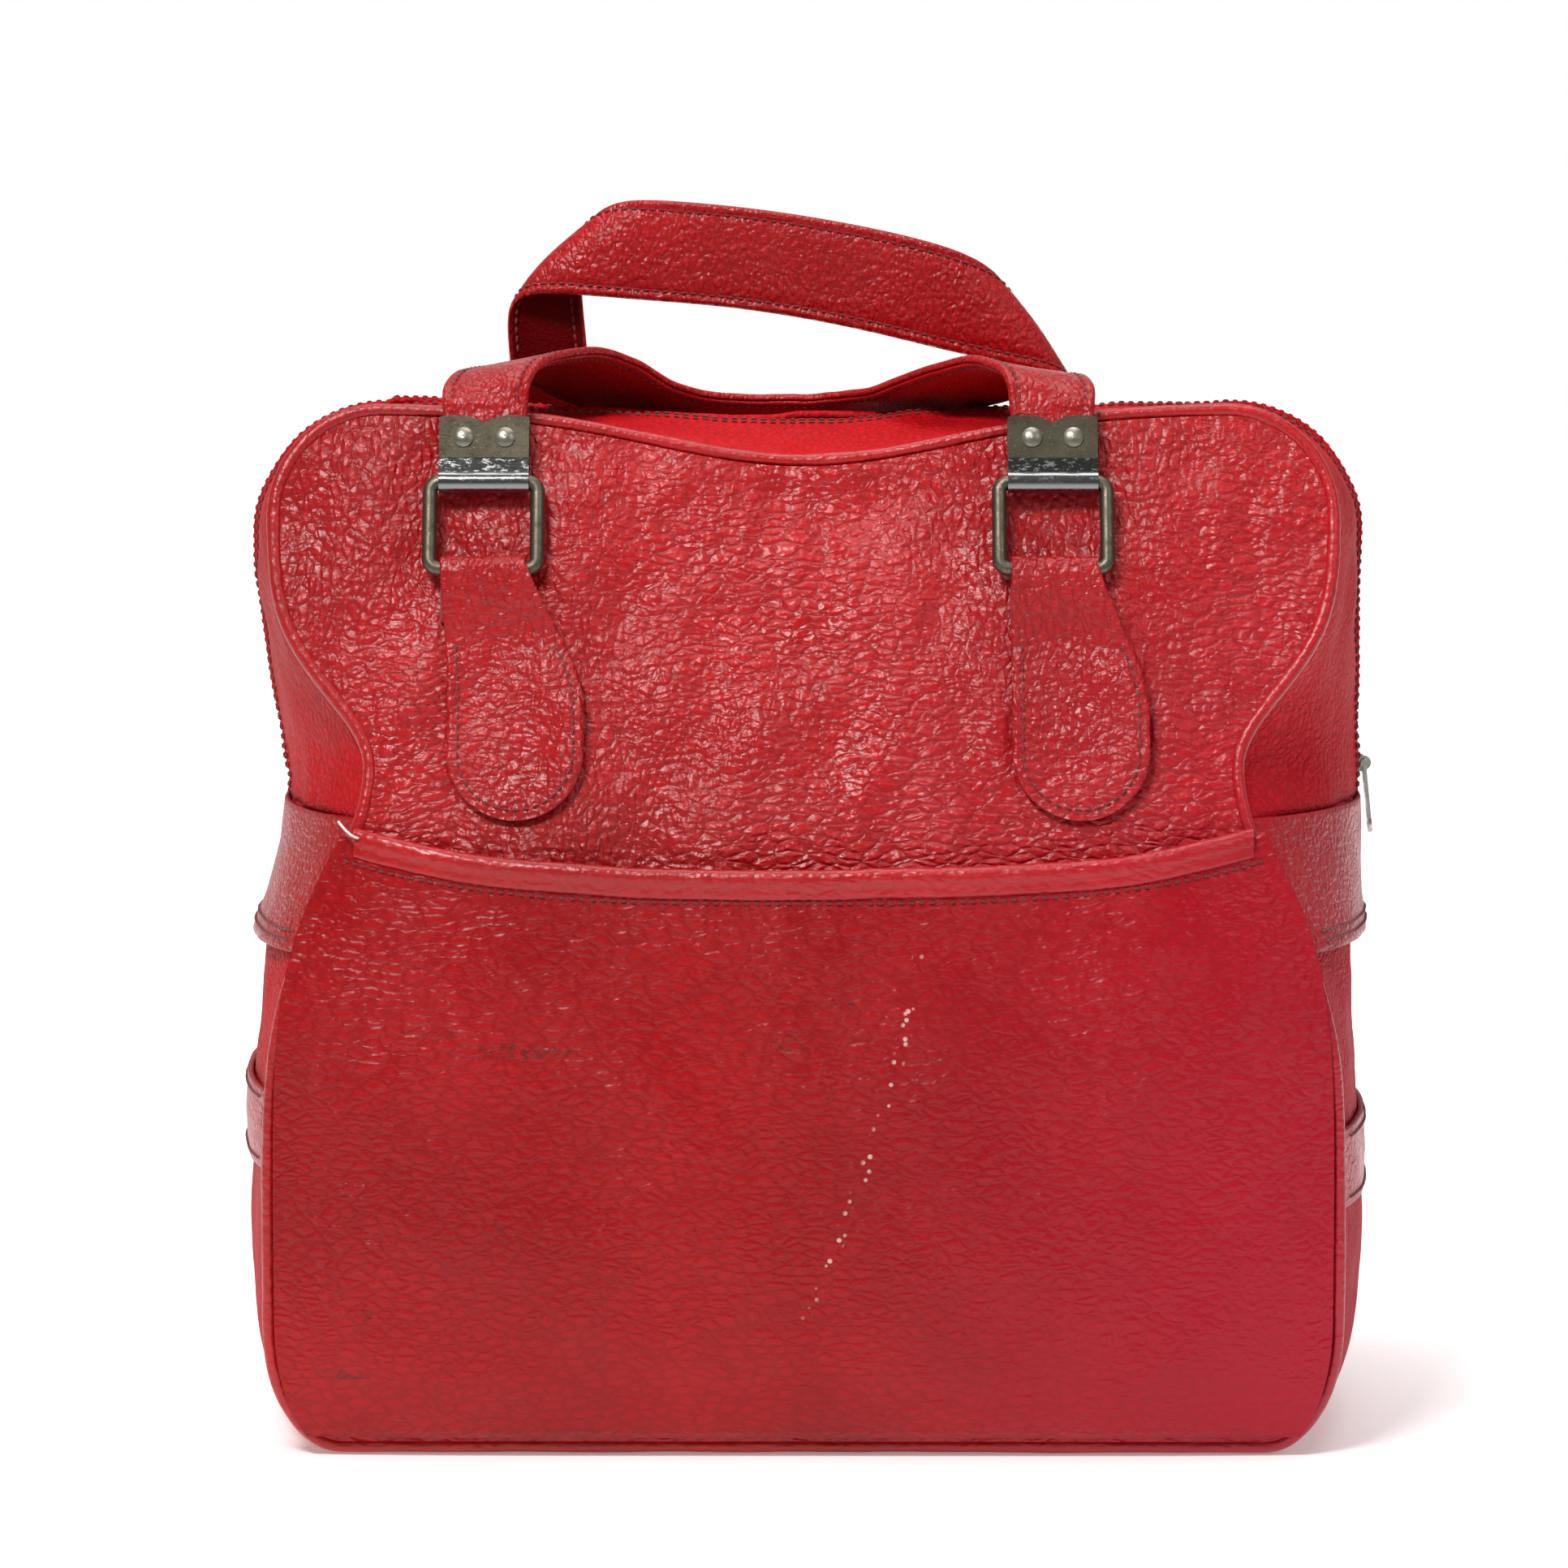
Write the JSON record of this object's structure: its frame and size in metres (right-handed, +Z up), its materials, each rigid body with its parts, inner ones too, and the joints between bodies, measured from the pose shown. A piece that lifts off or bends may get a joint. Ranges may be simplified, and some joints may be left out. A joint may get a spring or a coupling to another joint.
{
  "type": "bowling ball bag",
  "caption": "Zipped grained-vinyl ball bag with a bound front pocket, side flaps and two short strap handles hung on rings.",
  "frame": {"origin": "on the floor under the middle of the body's base", "axes": "+X to the wearer's right as seen from the front, -Y towards the front pocket, +Z up"},
  "size_m": [0.3918, 0.236, 0.4115],
  "materials": {
    "vinyl": "grained, satin",
    "vinyl_lining": "smooth, satin",
    "hardware": "aged nickel plate",
    "clasp_plate": "worn bright plate",
    "zip_coil": "satin",
    "zip_tape": "woven",
    "board": "matt"
  },
  "bodies": {
    "bag": {"front_panel_lower": "vinyl", "back_panel": "vinyl", "base_gusset": "vinyl", "front_pocket": "vinyl", "pocket_binding": "vinyl", "zip_gusset_rear": "vinyl", "welt_front_lower": "vinyl", "welt_rear": "vinyl", "zip_tape_rear": "zip_tape", "zip_coil_rear": "zip_coil", "zip_end_stops": "hardware", "end_flap_left": "vinyl", "end_flap_right": "vinyl", "keeper_strap_left": "vinyl", "keeper_strap_right": "vinyl", "tab_rear_left": "vinyl", "tab_rear_right": "vinyl", "base_board": "board", "ball_cradle": "board"},
    "front_flap": {"front_panel_upper": "vinyl", "zip_gusset_front": "vinyl", "welt_front_upper": "vinyl", "zip_tape_front": "zip_tape", "zip_coil_front": "zip_coil", "tab_front_left": "vinyl", "tab_front_right": "vinyl"},
    "front_ring_left": {"ring_front_left": "hardware"},
    "front_ring_right": {"ring_front_right": "hardware"},
    "rear_ring_left": {"ring_rear_left": "hardware"},
    "rear_ring_right": {"ring_rear_right": "hardware"},
    "front_handle": {"clasp_front_left": "clasp_plate", "clasp_front_right": "clasp_plate", "rivets_front": "hardware", "handle_front_cover": "vinyl", "handle_front_backing": "vinyl_lining"},
    "rear_handle": {"clasp_rear_left": "clasp_plate", "clasp_rear_right": "clasp_plate", "rivets_rear": "hardware", "handle_rear_cover": "vinyl", "handle_rear_backing": "vinyl_lining"},
    "slider": {"zip_slider": "hardware"},
    "pull": {"zip_pull": "hardware"}
  },
  "joints": [
    {"name": "mouth_opening", "type": "hinge", "parent": "bag", "child": "front_flap", "pos_m": [0, -0.112, 0.209], "axis": [1, 0, 0], "range_deg": [0, 45]},
    {"name": "front_ring_left_pivot", "type": "hinge", "parent": "front_flap", "child": "front_ring_left", "pos_m": [-0.1045, -0.08721, 0.2895], "axis": [1, 0, 0], "range_deg": [0, 60]},
    {"name": "front_ring_right_pivot", "type": "hinge", "parent": "front_flap", "child": "front_ring_right", "pos_m": [0.0815, -0.08721, 0.2895], "axis": [1, 0, 0], "range_deg": [0, 60]},
    {"name": "front_handle_pivot", "type": "hinge", "parent": "front_ring_left", "child": "front_handle", "pos_m": [-0.1045, -0.07874, 0.31745], "axis": [1, 0, 0], "range_deg": [0, 120]},
    {"name": "rear_ring_left_pivot", "type": "hinge", "parent": "bag", "child": "rear_ring_left", "pos_m": [-0.09, 0.08721, 0.2895], "axis": [-1, 0, 0], "range_deg": [0, 60]},
    {"name": "rear_ring_right_pivot", "type": "hinge", "parent": "bag", "child": "rear_ring_right", "pos_m": [0.088, 0.08721, 0.2895], "axis": [-1, 0, 0], "range_deg": [0, 60]},
    {"name": "rear_handle_pivot", "type": "hinge", "parent": "rear_ring_left", "child": "rear_handle", "pos_m": [-0.09, 0.07874, 0.31745], "axis": [-1, 0, 0], "range_deg": [0, 120]},
    {"name": "slider_travel", "type": "slide", "parent": "bag", "child": "slider", "axis": [0, 0, 1], "range_m": [0, 0.07]},
    {"name": "pull_pivot", "type": "hinge", "parent": "slider", "child": "pull", "pos_m": [0.1929, 0, 0.219], "axis": [0, -1, 0], "range_deg": [0, 150]}
  ],
  "couplings": [
    {"joint": "front_ring_right_pivot", "follows": "front_ring_left_pivot", "ratio": 1},
    {"joint": "rear_ring_right_pivot", "follows": "rear_ring_left_pivot", "ratio": 1}
  ]
}
